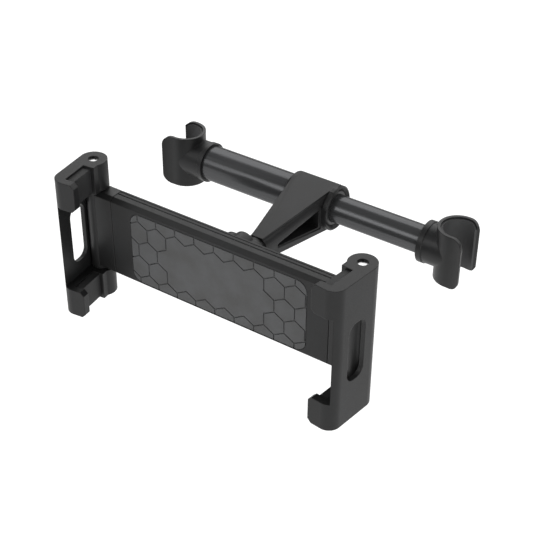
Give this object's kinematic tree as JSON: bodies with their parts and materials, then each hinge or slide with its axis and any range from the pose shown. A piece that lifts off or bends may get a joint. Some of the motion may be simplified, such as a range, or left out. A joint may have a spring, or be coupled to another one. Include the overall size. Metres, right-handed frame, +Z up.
{
  "type": "headrest tablet mount",
  "caption": "Tablet mount for a car headrest: telescopic bar with outward hooks, arm with ball joint and lobed lock nut, and sprung clamp with folding jaws.",
  "frame": {"origin": "on the axis of the left post seat, at the height of the bar axis", "axes": "+X along the bar from the left hook to the right hook, +Y from the clamp to the headrest, +Z up along the post axis"},
  "size_m": [0.1652, 0.1084, 0.0708],
  "materials": {
    "hook_plastic": "fine matt texture",
    "liner_rubber": "matt",
    "tube_metal": "glossy black",
    "bush_plastic": "satin",
    "arm_plastic": "fine matt texture",
    "ball_metal": "polished",
    "ball_plastic": "satin",
    "nut_plastic": "matt",
    "housing_plastic": "fine matt texture",
    "grip_rubber": "matt",
    "slider_plastic": "fine matt texture",
    "gear_plastic": "satin",
    "spring_steel": "bright",
    "pin_steel": "bright",
    "screw_steel": "black",
    "jaw_plastic": "fine matt texture",
    "jaw_rubber": "matt"
  },
  "bodies": {
    "bar": {"left_hook": "hook_plastic", "left_hook_liner": "liner_rubber", "outer_tube": "tube_metal", "guide_bush": "bush_plastic", "bar_spring": "spring_steel"},
    "extension": {"inner_tube": "tube_metal", "slide_plug": "bush_plastic", "right_hook": "hook_plastic", "right_hook_liner": "liner_rubber"},
    "arm": {"arm": "arm_plastic", "ball_stud": "ball_metal"},
    "ball_pan": {"ball_seat": "ball_plastic"},
    "ball_tilt": {"ball_ring": "ball_plastic"},
    "clamp": {"back_cover": "housing_plastic", "front_housing": "housing_plastic", "grip_pad": "grip_rubber", "pinion_pin": "pin_steel", "housing_screws": "screw_steel", "left_jaw_spring": "spring_steel", "right_jaw_spring": "spring_steel"},
    "lock_nut": {"lock_nut": "nut_plastic"},
    "left_slider": {"left_slider": "slider_plastic"},
    "right_slider": {"right_slider": "slider_plastic"},
    "pinion": {"pinion": "gear_plastic"},
    "left_jaw": {"left_jaw": "jaw_plastic", "left_upper_pad": "jaw_rubber", "left_lower_pad": "jaw_rubber", "left_pin": "pin_steel"},
    "right_jaw": {"right_jaw": "jaw_plastic", "right_upper_pad": "jaw_rubber", "right_lower_pad": "jaw_rubber", "right_pin": "pin_steel"}
  },
  "joints": [
    {"name": "bar_slide", "type": "slide", "parent": "bar", "child": "extension", "axis": [1, 0, 0], "range_m": [-0.033, 0], "stiffness_N_per_m": 60, "springref_m": 0.05, "deforming": ["bar_spring"]},
    {"name": "arm_turn", "type": "hinge", "parent": "bar", "child": "arm", "pos_m": [0.0753, 0, 0], "axis": [1, 0, 0], "range_deg": [-75, 75]},
    {"name": "ball_pan", "type": "hinge", "parent": "arm", "child": "ball_pan", "pos_m": [0.0753, -0.06, -0.0021], "axis": [0, 0, 1], "range_deg": [-15, 15]},
    {"name": "ball_tilt", "type": "hinge", "parent": "ball_pan", "child": "ball_tilt", "pos_m": [0.0753, -0.06, -0.0021], "axis": [1, 0, 0], "range_deg": [-15, 15]},
    {"name": "ball_spin", "type": "hinge", "parent": "ball_tilt", "child": "clamp", "pos_m": [0.0753, -0.06, -0.0021], "axis": [0, 1, 0], "continuous": true},
    {"name": "nut_turn", "type": "hinge", "parent": "clamp", "child": "lock_nut", "pos_m": [0.0753, -0.06, -0.0021], "axis": [0, 1, 0], "continuous": true},
    {"name": "left_slide", "type": "slide", "parent": "clamp", "child": "left_slider", "axis": [-1, 0, 0], "range_m": [0, 0.042], "stiffness_N_per_m": 60, "springref_m": -0.05, "deforming": ["left_jaw_spring"]},
    {"name": "right_slide", "type": "slide", "parent": "clamp", "child": "right_slider", "axis": [1, 0, 0], "range_m": [0, 0.042], "deforming": ["right_jaw_spring"]},
    {"name": "pinion_spin", "type": "hinge", "parent": "clamp", "child": "pinion", "pos_m": [0.0753, -0.073, -0.0021], "axis": [0, 1, 0], "range_deg": [-405, 0]},
    {"name": "left_fold", "type": "hinge", "parent": "left_slider", "child": "left_jaw", "pos_m": [0.0053, -0.073, -0.0021], "axis": [0, 0, 1], "range_deg": [-6.6, 81]},
    {"name": "right_fold", "type": "hinge", "parent": "right_slider", "child": "right_jaw", "pos_m": [0.1453, -0.073, -0.0021], "axis": [0, 0, -1], "range_deg": [-6.6, 81]}
  ],
  "couplings": [
    {"joint": "right_slide", "follows": "left_slide", "ratio": 1},
    {"joint": "pinion_spin", "follows": "left_slide", "rad_per_m": -166.67}
  ]
}
